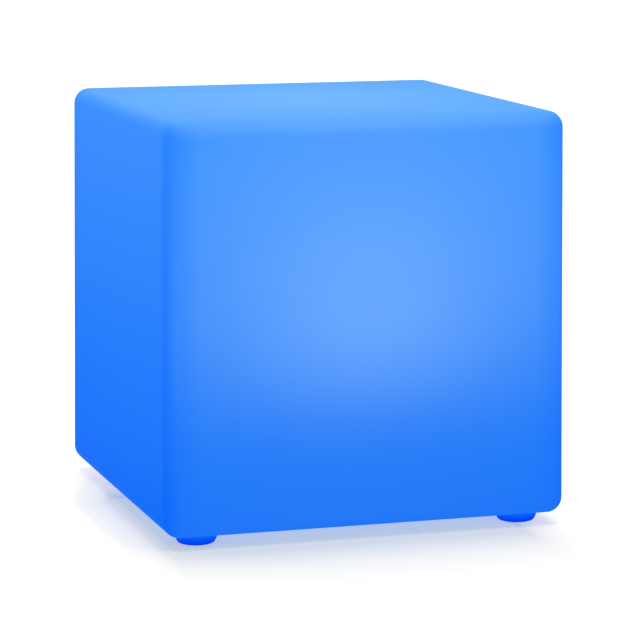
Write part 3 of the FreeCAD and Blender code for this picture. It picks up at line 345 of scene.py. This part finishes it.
def upright_edge(tree, place, rise, walls):
    """How near a point is to an upright edge: 0 away from it, and 1 on it halfway up the cube."""
    spot = add(tree, "VectorMath", place, operation="ABSOLUTE")
    inner = add(tree, "Math", add(tree, "SeparateXYZ", spot, out="X"),
                add(tree, "SeparateXYZ", spot, out="Y"), operation="MINIMUM")
    edge = add(tree, "MapRange", inner, half_width - EDGE_BAND, half_width, 0.0, 1.0,
               interpolation_type="SMOOTHERSTEP")
    growth = add(tree, "Math", rise, EDGE_CLIMB, 1.0, operation="MULTIPLY_ADD")
    edge = add(tree, "Math", edge, growth, operation="MULTIPLY")
    return add(tree, "Math", edge, walls, operation="MULTIPLY")


print("edge band is", round(EDGE_BAND / MM, 1), "mm wide")

# %% [markdown]
# All this is turned into a colour channel by channel: a base that the whole wall has, a gain for the
# lamp light, and a small climb from the foot of the cube to its top. The sides are a little darker,
# and their red and green climb more. The edge then takes a part of the red and the green and hardly
# touches the blue, so that it looks deeper. A soft maximum keeps the red from passing below zero
# near the foot of the sides.

# %% Colour of the glow
DARK_BLEND = 0.03
GLOW_CHANNELS = {
    "red": {"base": 0.0171, "gain": 0.3356, "climb": 0.0067,
            "side": -0.003, "side_climb": 0.0206, "edge_loss": 0.389},
    "green": {"base": 0.2111, "gain": 0.4681, "climb": 0.0432,
              "side": -0.0122, "side_climb": 0.0192, "edge_loss": 0.1475},
    "blue": {"base": 0.8641, "gain": 0.0956, "climb": 0.0297,
             "side": -0.0093, "side_climb": -0.0062, "edge_loss": -0.029},
}


def glow_colour(tree, place, normal):
    """The colour that each point of the wall glows in."""
    side, front = (add(tree, "SeparateXYZ", normal, out=axis) for axis in "XY")
    side = add(tree, "Math", side, side, operation="MULTIPLY")
    front = add(tree, "Math", front, front, operation="MULTIPLY")
    walls = add(tree, "Math", side, front, operation="ADD")
    height = add(tree, "SeparateXYZ", place, out="Z")
    rise = add(tree, "MapRange", height, shell_low.z, shell_high.z, -1.0, 1.0)
    edge = upright_edge(tree, place, rise, walls)
    shares = {"gain": spot_on_faces(tree, place, normal, front), "climb": rise, "side": side,
              "side_climb": add(tree, "Math", side, rise, operation="MULTIPLY")}
    channels = []
    for mix in GLOW_CHANNELS.values():
        level = mix["base"]
        for name, share in shares.items():
            level = add(tree, "Math", share, mix[name], level, operation="MULTIPLY_ADD")
        kept = add(tree, "Math", edge, -mix["edge_loss"], 1.0, operation="MULTIPLY_ADD")
        level = add(tree, "Math", level, kept, operation="MULTIPLY")
        channels.append(add(tree, "Math", level, 0.0, DARK_BLEND, operation="SMOOTH_MAX"))
    return add(tree, "CombineColor", *channels)


print("glow channels", ", ".join(GLOW_CHANNELS))


# %% [markdown]
# Patterns are sized in millimetres of the real finish. The frame is in metres, and a noise of scale
# 1 has blots about a metre wide, so its scale is one over the width in metres.

# %% Scale of a noise
def noise_scale(width_mm):
    return 1 / (width_mm * MM)


print("a noise 1 mm wide has the scale", noise_scale(1))

# %% [markdown]
# Polyethylene has a waxy, slightly uneven skin from the mould, which two bumps give: a peel and a
# long wave, both very shallow. The real peel is some tenths of a millimetre wide, which is too fine
# to show, so it is drawn 1.2 mm wide. The wave is as long as the real one, 45 mm. The gloss of the
# skin is faint beside the glow, so its specular level is low.

# %% Shell material
PEEL_MM = 1.2
PEEL_DEPTH = 0.05 * MM
WAVE_MM = 45
WAVE_DEPTH = 1.0 * MM
SHELL_BUMP = 0.3


def make_shell_material():
    # The glow is painted light from the lamps inside. The dark blue base colour is painted light too,
    # not the milky white of the plastic: it is the colour of the lit wall.
    material, tree, shader = start_finish("glowing_polyethylene", "#062A78", 0.55, IOR=1.51,
                                          Specular_IOR_Level=0.004, Emission_Strength=1.0)
    place = add(tree, "TexCoord", out="Object")
    normal = add(tree, "NewGeometry", out="Normal")
    peel = add(tree, "TexNoise", Vector=place, Scale=noise_scale(PEEL_MM), Detail=2.0)
    peel = add(tree, "Bump", Strength=SHELL_BUMP, Distance=PEEL_DEPTH, Height=peel)
    wave = add(tree, "TexNoise", Vector=place, Scale=noise_scale(WAVE_MM), Detail=1.0)
    wave = add(tree, "Bump", Strength=SHELL_BUMP, Distance=WAVE_DEPTH, Height=wave, Normal=peel)
    feed(tree, shader, Emission_Color=glow_colour(tree, place, normal), Normal=wave)
    return material


dress(make_shell_material(), "cube_shell")

# %% [markdown]
# ## The feet
# The feet are soft, clear moulded plastic, blue only by the light of the cube. The light that leaks down
# through the floor of the cube fills them from above, so each is bright under the cube and deep blue
# near the ground. That light is painted as a glow: red, green and blue each have a base, and a gain for
# the height. The dark blue base colour is painted light too. A moulded foot has a fine matt skin, which
# catches the light only a little. Its grain is drawn 0.8 mm wide, because the real one, about a tenth of
# a millimetre, would not show.

# %% Foot material
FOOT_CHANNELS = ((0.0, 0.001), (0.035, 0.085), (0.86, 0.07))
SKIN_MM = 0.8
SKIN_DEPTH = 0.06 * MM
SKIN_BUMP = 0.4


def make_foot_material():
    material, tree, shader = start_finish("lit_soft_vinyl", "#04185C", 0.6, IOR=1.53,
                                          Specular_IOR_Level=0.004, Emission_Strength=1.0)
    place = add(tree, "TexCoord", out="Object")
    height = add(tree, "SeparateXYZ", place, out="Z")
    rise = add(tree, "MapRange", height, 0.0, shell_low.z, 0.0, 1.0, interpolation_type="SMOOTHSTEP")
    channels = [add(tree, "Math", rise, gain, base, operation="MULTIPLY_ADD")
                for base, gain in FOOT_CHANNELS]
    skin = add(tree, "TexNoise", Vector=place, Scale=noise_scale(SKIN_MM), Detail=2.0)
    skin = add(tree, "Bump", Strength=SKIN_BUMP, Distance=SKIN_DEPTH, Height=skin)
    feed(tree, shader, Emission_Color=add(tree, "CombineColor", *channels), Normal=skin)
    return material


dress(make_foot_material(), "foot_front_left", "foot_front_right", "foot_rear_left", "foot_rear_right")

# %% [markdown]
# ## Moulded plastics
# The module's covers are injection-moulded ABS, and the small parts on them nylon or acetal. Their
# tools are spark-eroded, which leaves an even, sandy grain of about a tenth of a millimetre. That is
# too fine to show, so it is drawn three to six times as wide. One recipe serves them all: the grain
# as a bump and in the roughness, and a very weak, wide cloud in the colour, as handling leaves it.
# A noise keeps mostly between 0.3 and 0.7, and that span is stretched to the range of roughness. A
# polished tool gives the dark resin of the receiver only a faint, wider ripple, which the same
# recipe draws.

# %% Moulded plastic recipe
NOISE_SPAN = (0.3, 0.7)
CLOUD_MM = 35
CLOUD_SPAN = (0.4, 0.75)
CLOUD_SHARE = 0.6
SAND_BUMP = 0.5
SAND_SMOOTHER = 0.06
SAND_ROUGHER = 0.08


def make_moulded(name, colour, worn, roughness, grain_mm, depth_mm, **constants):
    """A moulded surface: sandy grain this wide and deep, colour that clouds towards the worn one."""
    material, tree, shader = start_finish(name, colour, roughness, **constants)
    place = add(tree, "TexCoord", out="Object")
    cloud = add(tree, "TexNoise", Vector=place, Scale=noise_scale(CLOUD_MM), Detail=3.0)
    share = add(tree, "MapRange", cloud, *CLOUD_SPAN, 0.0, CLOUD_SHARE)
    shade = add(tree, "Mix", share, data_type="RGBA", out=2, _6=linear(colour), _7=linear(worn))
    sand = add(tree, "TexNoise", Vector=place, Scale=noise_scale(grain_mm), Detail=2.0)
    matt = add(tree, "MapRange", sand, *NOISE_SPAN, roughness - SAND_SMOOTHER, roughness + SAND_ROUGHER)
    relief = add(tree, "Bump", Strength=SAND_BUMP, Distance=depth_mm * MM, Height=sand)
    feed(tree, shader, Base_Color=shade, Roughness=matt, Normal=relief)
    return material


dress(make_moulded("white_abs", "#DDDEDF", "#CFCFCD", 0.42, 0.5, 0.04, IOR=1.54),
      "base_plate", "module_housing")
dress(make_moulded("grey_satin_abs", "#B9BCC0", "#A9ABAD", 0.34, 0.35, 0.02, IOR=1.54),
      "power_button")
dress(make_moulded("dark_abs", "#34373B", "#43464A", 0.5, 0.5, 0.04, IOR=1.54),
      "battery_tray", "battery_cover")
dress(make_moulded("black_nylon", "#141416", "#26272A", 0.36, 0.4, 0.02, IOR=1.53),
      "charging_socket", "push_switch")
dress(make_moulded("white_acetal", "#E6E6E1", "#D9D8D0", 0.3, 0.6, 0.01, IOR=1.48),
      "switch_plunger")
dress(make_moulded("natural_nylon", "#E2DECF", "#D3CDB9", 0.38, 0.4, 0.02, IOR=1.53),
      "board_connectors", "led_board_connector")
dress(make_moulded("infrared_pass_resin", "#1A0B10", "#24141A", 0.18, 1.0, 0.005, IOR=1.56),
      "remote_receiver")

# %% [markdown]
# ## Rubber
# Seals are moulded silicone, and the socket's cap is a soft elastomer. Rubber is matt and collects
# pale dust in specks and patches a few millimetres wide. A dusty share of the colour and a higher
# roughness there give that, and a soft sheen stands for the fine skin. The skin's grain is drawn
# 0.35 mm wide, a few times as wide as on the real parts.

# %% Rubber recipe
DUST_MM = 4
DUST_SPAN = (0.5, 0.8)
DUST_SHARE = 0.5
MATT_SPAN = (0.3, 0.8)
RUBBER_GRAIN_MM = 0.35
RUBBER_GRAIN_DEPTH = 0.03 * MM
RUBBER_BUMP = 0.45
RUBBER_SMOOTHER = 0.05
RUBBER_ROUGHER = 0.12


def make_rubber(name, colour, dusty, roughness, ior):
    material, tree, shader = start_finish(name, colour, roughness, IOR=ior, Sheen_Weight=0.12,
                                          Sheen_Roughness=0.5)
    place = add(tree, "TexCoord", out="Object")
    speck = add(tree, "TexNoise", Vector=place, Scale=noise_scale(DUST_MM), Detail=6.0, Roughness=0.7)
    share = add(tree, "MapRange", speck, *DUST_SPAN, 0.0, DUST_SHARE)
    shade = add(tree, "Mix", share, data_type="RGBA", out=2, _6=linear(colour), _7=linear(dusty))
    skin = add(tree, "TexNoise", Vector=place, Scale=noise_scale(RUBBER_GRAIN_MM), Detail=2.0)
    relief = add(tree, "Bump", Strength=RUBBER_BUMP, Distance=RUBBER_GRAIN_DEPTH, Height=skin)
    matt = add(tree, "MapRange", speck, *MATT_SPAN, roughness - RUBBER_SMOOTHER,
               roughness + RUBBER_ROUGHER)
    feed(tree, shader, Base_Color=shade, Roughness=matt, Normal=relief)
    return material


dress(make_rubber("black_silicone", "#1C1D1F", "#3A3B3D", 0.6, 1.41),
      "flange_gasket", "housing_seal", "button_seal", "dome_seal", "socket_washer")
dress(make_rubber("grey_elastomer", "#7E8184", "#9A9C9D", 0.62, 1.5), "socket_cap", "cap_anchor")


# %% [markdown]
# ## Metal
# Screws, turned parts, boards and woven tape have marks at even distances, for which Blender has a
# band pattern. At scale 1 it has a band every 2 pi / 20 metres, so the scale follows from the
# distance between the marks.

# %% Scale of a band pattern
def band_scale(pitch_mm):
    return 2 * math.pi / 20 / (pitch_mm * MM)


print("bands 1 mm apart have the scale", round(band_scale(1), 1))

# %% [markdown]
# The screws are cold-headed stainless steel, the inserts are turned brass and the contacts are
# nickel plated. Bands along the upright axis stand for what a tool leaves: the thread on a screw, the
# marks of the lathe on brass, the rolling lines on nickel. Real threads of these sizes have 0.45 to
# 0.7 mm from turn to turn and lathe marks far less, so both are drawn coarser, at 0.8 and 0.5 mm, to
# show. Fine scratches, as from the washing drum, run over them and change the roughness too. A metal
# keeps the default IOR, because its colour does the work.

# %% Metal recipe
STAIN_MM = 3
STAIN_SPAN = (0.45, 0.75)
STAIN_SHARE = 0.5
BAND_BUMP = 0.5
BAND_DEPTH = 0.15
SCRATCH_MM = 1.5
SCRATCH_STRETCH = (1, 9, 1)
SCRATCH_DEPTH = 0.01 * MM
SCRATCH_BUMP = 0.3
METAL_SMOOTHER = 0.08
METAL_ROUGHER = 0.1


def make_metal(name, colour, stained, roughness, pitch_mm):
    """A metal with bands at this pitch, whose depth is BAND_DEPTH of the pitch."""
    material, tree, shader = start_finish(name, colour, roughness, Metallic=1.0)
    place = add(tree, "TexCoord", out="Object")
    stain = add(tree, "TexNoise", Vector=place, Scale=noise_scale(STAIN_MM), Detail=4.0)
    share = add(tree, "MapRange", stain, *STAIN_SPAN, 0.0, STAIN_SHARE)
    shade = add(tree, "Mix", share, data_type="RGBA", out=2, _6=linear(colour), _7=linear(stained))
    turns = add(tree, "TexWave", Vector=place, Scale=band_scale(pitch_mm), bands_direction="Z",
                wave_profile="TRI")
    relief = add(tree, "Bump", Strength=BAND_BUMP, Distance=BAND_DEPTH * pitch_mm * MM, Height=turns)
    long_way = add(tree, "Mapping", place, Scale=SCRATCH_STRETCH)
    scratch = add(tree, "TexNoise", Vector=long_way, Scale=noise_scale(SCRATCH_MM), Detail=3.0)
    relief = add(tree, "Bump", Strength=SCRATCH_BUMP, Distance=SCRATCH_DEPTH, Height=scratch,
                 Normal=relief)
    matt = add(tree, "MapRange", scratch, *NOISE_SPAN, roughness - METAL_SMOOTHER,
               roughness + METAL_ROUGHER)
    feed(tree, shader, Base_Color=shade, Roughness=matt, Normal=relief)
    return material


dress(make_metal("stainless_steel", "#B4B3AF", "#8F8D88", 0.3, 0.8), "flange_screws",
      "housing_screws", "board_screws", "tray_screws", "led_board_screws", "dome_screws")
dress(make_metal("turned_brass", "#C9A45A", "#9A7738", 0.28, 0.5),
      "threaded_inserts", "socket_terminal")
dress(make_metal("nickel_plate", "#C4BFB3", "#A29C8E", 0.2, 0.5),
      "socket_nut", "socket_pin", "cell_links")

# %% [markdown]
# ## Circuit boards
# The control board is glass-epoxy laminate under green solder mask. Copper tracks under the mask
# show as paler lines that run along or across the board. Two band patterns give the lines, and a
# patchwork of square cells, each with a chance colour, chooses between them. Real tracks are often
# finer, but would not show. The light board has an aluminium core, which takes the lamps' heat away,
# and a white mask that throws their light back.

# %% Circuit board recipe
PATCH_MM = 9
TRACK_SPAN = (0.62, 0.72)
TRACK_DEPTH = 0.05 * MM
TRACK_BUMP = 0.5


def make_board(name, mask, track, roughness, pitch_mm):
    """A board with tracks at this pitch under its mask."""
    material, tree, shader = start_finish(name, mask, roughness, IOR=1.55, Coat_Weight=0.3,
                                          Coat_Roughness=0.2)
    place = add(tree, "TexCoord", out="Object")
    lines = [add(tree, "TexWave", Vector=place, Scale=band_scale(pitch_mm), bands_direction=axis,
                 wave_profile="TRI") for axis in "XY"]
    cell = add(tree, "TexVoronoi", Vector=place, Scale=noise_scale(PATCH_MM), distance="CHEBYCHEV",
               out="Color")
    pick = add(tree, "Math", add(tree, "SeparateXYZ", cell, out="X"), 0.5, operation="GREATER_THAN")
    line = add(tree, "Mix", pick, _2=lines[0], _3=lines[1])
    copper = add(tree, "MapRange", line, *TRACK_SPAN, 0.0, 1.0)
    shade = add(tree, "Mix", copper, data_type="RGBA", out=2, _6=linear(mask), _7=linear(track))
    relief = add(tree, "Bump", Strength=TRACK_BUMP, Distance=TRACK_DEPTH, Height=copper)
    feed(tree, shader, Base_Color=shade, Normal=relief)
    return material


dress(make_board("green_solder_mask", "#0E5A30", "#2A7E4A", 0.3, 1.3), "control_board")
dress(make_board("white_solder_mask", "#E4E5E2", "#D2D5D3", 0.35, 2.6), "led_board")

# %% [markdown]
# The parts on the control board stand in one node: flat black chips and a coil, and two round
# capacitors that are taller. A capacitor is an aluminium can in a dark sleeve, whose bare end shows
# on top. So the highest 0.2 mm of the node are bare metal, and everything below is black resin.

# %% Component material
BARE_DEPTH = 0.2 * MM
RESIN_GRAIN_MM = 0.4
RESIN_GRAIN_DEPTH = 0.02 * MM
RESIN_BUMP = 0.5
RESIN_ROUGHNESS = 0.42
CAN_ROUGHNESS = 0.25
component_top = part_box("board_components")[1].z


def make_component_material():
    material, tree, shader = start_finish("black_resin_and_cans", "#17181A", 0.4, IOR=1.55)
    place = add(tree, "TexCoord", out="Object")
    height = add(tree, "SeparateXYZ", place, out="Z")
    bare = add(tree, "Math", height, component_top - BARE_DEPTH, operation="GREATER_THAN")
    speck = add(tree, "TexNoise", Vector=place, Scale=noise_scale(RESIN_GRAIN_MM), Detail=2.0)
    black = add(tree, "Mix", speck, data_type="RGBA", out=2, _6=linear("#101113"), _7=linear("#242629"))
    shade = add(tree, "Mix", bare, data_type="RGBA", out=2, _6=black, _7=linear("#B9BBBE"))
    relief = add(tree, "Bump", Strength=RESIN_BUMP, Distance=RESIN_GRAIN_DEPTH, Height=speck)
    matt = add(tree, "MapRange", bare, 0.0, 1.0, RESIN_ROUGHNESS, CAN_ROUGHNESS)
    feed(tree, shader, Base_Color=shade, Metallic=bare, Roughness=matt, Normal=relief)
    return material


dress(make_component_material(), "board_components")

# %% [markdown]
# ## Lamps
# Each lamp is a white moulded package with a window of clear resin over pale phosphor on top. The
# window shines blue, a little unevenly. It is found by its direction: only the faces that look
# straight up shine.

# %% Lamp material
WINDOW_SPAN = (0.9, 0.95)
PHOSPHOR_MM = 0.5
SHINE = (2.5, 3.5)


def make_lamp_material():
    material, tree, shader = start_finish("lamp_package", "#E9E6D8", 0.35, IOR=1.53,
                                          Emission_Color=linear("#3C7BFF"))
    place = add(tree, "TexCoord", out="Object")
    up = add(tree, "SeparateXYZ", add(tree, "NewGeometry", out="Normal"), out="Z")
    window = add(tree, "MapRange", up, *WINDOW_SPAN, 0.0, 1.0)
    phosphor = add(tree, "TexNoise", Vector=place, Scale=noise_scale(PHOSPHOR_MM), Detail=2.0)
    level = add(tree, "MapRange", phosphor, *NOISE_SPAN, *SHINE)
    shade = add(tree, "Mix", window, data_type="RGBA", out=2, _6=linear("#E9E6D8"), _7=linear("#D9DDA8"))
    shine = add(tree, "Math", window, level, operation="MULTIPLY")
    feed(tree, shader, Base_Color=shade, Emission_Strength=shine)
    return material


dress(make_lamp_material(), "led_packages")

# %% [markdown]
# ## Dome and light pipe
# The dome over the lamps is frosted polycarbonate: it lets light through and blurs it. Its frost is
# a blast of fine grit, drawn 0.5 mm wide where the real one is a tenth of that. The light pipe of the
# charge indicator is acrylic with a polished skin, so it has a wide, weak ripple in place of frost.

# %% Clear plastic recipe
CLEAR_BUMP = 0.4
CLEAR_DEPTH = 0.02 * MM
CLEAR_RANGE = (0.85, 1.15)


def make_clear(name, colour, roughness, frost_mm, through):
    """A clear plastic that lets this share of the light through."""
    material, tree, shader = start_finish(name, colour, roughness, IOR=1.58,
                                          Transmission_Weight=through)
    place = add(tree, "TexCoord", out="Object")
    frost = add(tree, "TexNoise", Vector=place, Scale=noise_scale(frost_mm), Detail=3.0)
    relief = add(tree, "Bump", Strength=CLEAR_BUMP, Distance=CLEAR_DEPTH, Height=frost)
    smooth, rough = (roughness * factor for factor in CLEAR_RANGE)
    matt = add(tree, "MapRange", frost, *NOISE_SPAN, smooth, rough)
    feed(tree, shader, Roughness=matt, Normal=relief)
    return material


dress(make_clear("frosted_polycarbonate", "#EDF2F6", 0.5, 0.5, 0.75), "light_dome")
dress(make_clear("polished_acrylic", "#E8F0F4", 0.06, 2.0, 0.9), "charge_indicator")

# %% [markdown]
# ## Films of the cells
# The two cells stand in a shrunk sleeve and are bound by a second, wider film. Shrunk vinyl film is
# glossy with faint puckers that run round the cells, so the noise is squeezed upright. Where the
# film puckers it also looks a little paler.

# %% Film recipe
PUCKER_STRETCH = (1, 1, 4)
PUCKER_SPAN = (0.45, 0.75)
PUCKER_SHARE = 0.5
PUCKER_DEPTH = 0.2 * MM
PUCKER_BUMP = 0.5


def make_film(name, colour, pale, pucker_mm):
    material, tree, shader = start_finish(name, colour, 0.25, IOR=1.53, Coat_Weight=0.4,
                                          Coat_Roughness=0.15)
    place = add(tree, "TexCoord", out="Object")
    squeezed = add(tree, "Mapping", place, Scale=PUCKER_STRETCH)
    pucker = add(tree, "TexNoise", Vector=squeezed, Scale=noise_scale(pucker_mm), Detail=3.0)
    share = add(tree, "MapRange", pucker, *PUCKER_SPAN, 0.0, PUCKER_SHARE)
    shade = add(tree, "Mix", share, data_type="RGBA", out=2, _6=linear(colour), _7=linear(pale))
    relief = add(tree, "Bump", Strength=PUCKER_BUMP, Distance=PUCKER_DEPTH, Height=pucker)
    feed(tree, shader, Base_Color=shade, Normal=relief)
    return material


dress(make_film("blue_sleeve_film", "#2C6D9C", "#4B88B2", 9), "battery_cells")
dress(make_film("dark_wrap_film", "#15356E", "#28508F", 14), "battery_wrap")

# %% [markdown]
# ## Straps
# The straps are woven nylon tape, whose threads are about half a millimetre apart. Two band patterns
# that cross, multiplied with each other, give their over-and-under, as a bump and as shadow between
# the threads. The bands that run round a strap are as far apart as the threads, and the slanted ones
# a little further. A sheen stands for the fine fibres.

# %% Strap recipe
WEAVE_DEPTH = 0.15 * MM
WEAVE_BUMP = 0.8


def make_strap(name, colour, shadow, thread_mm):
    material, tree, shader = start_finish(name, colour, 0.8, IOR=1.53, Sheen_Weight=0.3,
                                          Sheen_Roughness=0.4)
    place = add(tree, "TexCoord", out="Object")
    weft, warp = (add(tree, "TexWave", Vector=place, Scale=band_scale(thread_mm),
                      bands_direction=axis) for axis in ("DIAGONAL", "Z"))
    weave = add(tree, "Math", weft, warp, operation="MULTIPLY")
    shade = add(tree, "Mix", weave, data_type="RGBA", out=2, _6=linear(shadow), _7=linear(colour))
    relief = add(tree, "Bump", Strength=WEAVE_BUMP, Distance=WEAVE_DEPTH, Height=weave)
    feed(tree, shader, Base_Color=shade, Normal=relief)
    return material


dress(make_strap("woven_nylon_tape", "#D8D4C6", "#8E8A7C", 0.5), "battery_straps")

# %% [markdown]
# ## Leads
# Leads are fine stranded copper in a silicone cover, with a colour for each wire. The wires of a
# group lie side by side from left to right, so the colour of a wire follows from its place: each
# strip of the width gets its own hex value. The cover's fine skin is drawn 0.6 mm wide.

# %% Lead recipe
LEAD_SKIN_MM = 0.6
LEAD_SKIN_DEPTH = 0.02 * MM
LEAD_BUMP = 0.4
LEAD_ROUGHNESS = (0.38, 0.52)


def make_leads(name, colours, edges):
    """Silicone leads whose colours change from left to right at these places in metres."""
    material, tree, shader = start_finish(name, colours[0], 0.45, IOR=1.41)
    place = add(tree, "TexCoord", out="Object")
    across = add(tree, "SeparateXYZ", place, out="X")
    shade = linear(colours[0])
    for edge, colour in zip(edges, colours[1:]):
        beyond = add(tree, "Math", across, edge, operation="GREATER_THAN")
        shade = add(tree, "Mix", beyond, data_type="RGBA", out=2, _6=shade, _7=linear(colour))
    skin = add(tree, "TexNoise", Vector=place, Scale=noise_scale(LEAD_SKIN_MM), Detail=2.0)
    relief = add(tree, "Bump", Strength=LEAD_BUMP, Distance=LEAD_SKIN_DEPTH, Height=skin)
    matt = add(tree, "MapRange", skin, *NOISE_SPAN, *LEAD_ROUGHNESS)
    feed(tree, shader, Base_Color=shade, Roughness=matt, Normal=relief)
    return material


print("the skin of the leads is drawn", LEAD_SKIN_MM, "mm wide")

# %% [markdown]
# A battery has a black lead and a red one, with the middle of the cube between them. The light board
# has four, one for the return and one for each colour that it can mix, so the width of that group is
# cut into four even strips.

# %% Dress the leads
BATTERY_COLOURS = ("#1A1A1C", "#B3201C")
LIGHT_COLOURS = (*BATTERY_COLOURS, "#2E8A3C", "#2347B5")
leads_low, leads_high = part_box("light_leads")
strip_width = (leads_high.x - leads_low.x) / len(LIGHT_COLOURS)
light_edges = [leads_low.x + strip * strip_width for strip in range(1, len(LIGHT_COLOURS))]

dress(make_leads("battery_lead_silicone", BATTERY_COLOURS, (0.0,)), "battery_leads")
dress(make_leads("light_lead_silicone", LIGHT_COLOURS, light_edges), "light_leads")
print("the strips of the light leads are", round(strip_width / MM, 2), "mm wide")
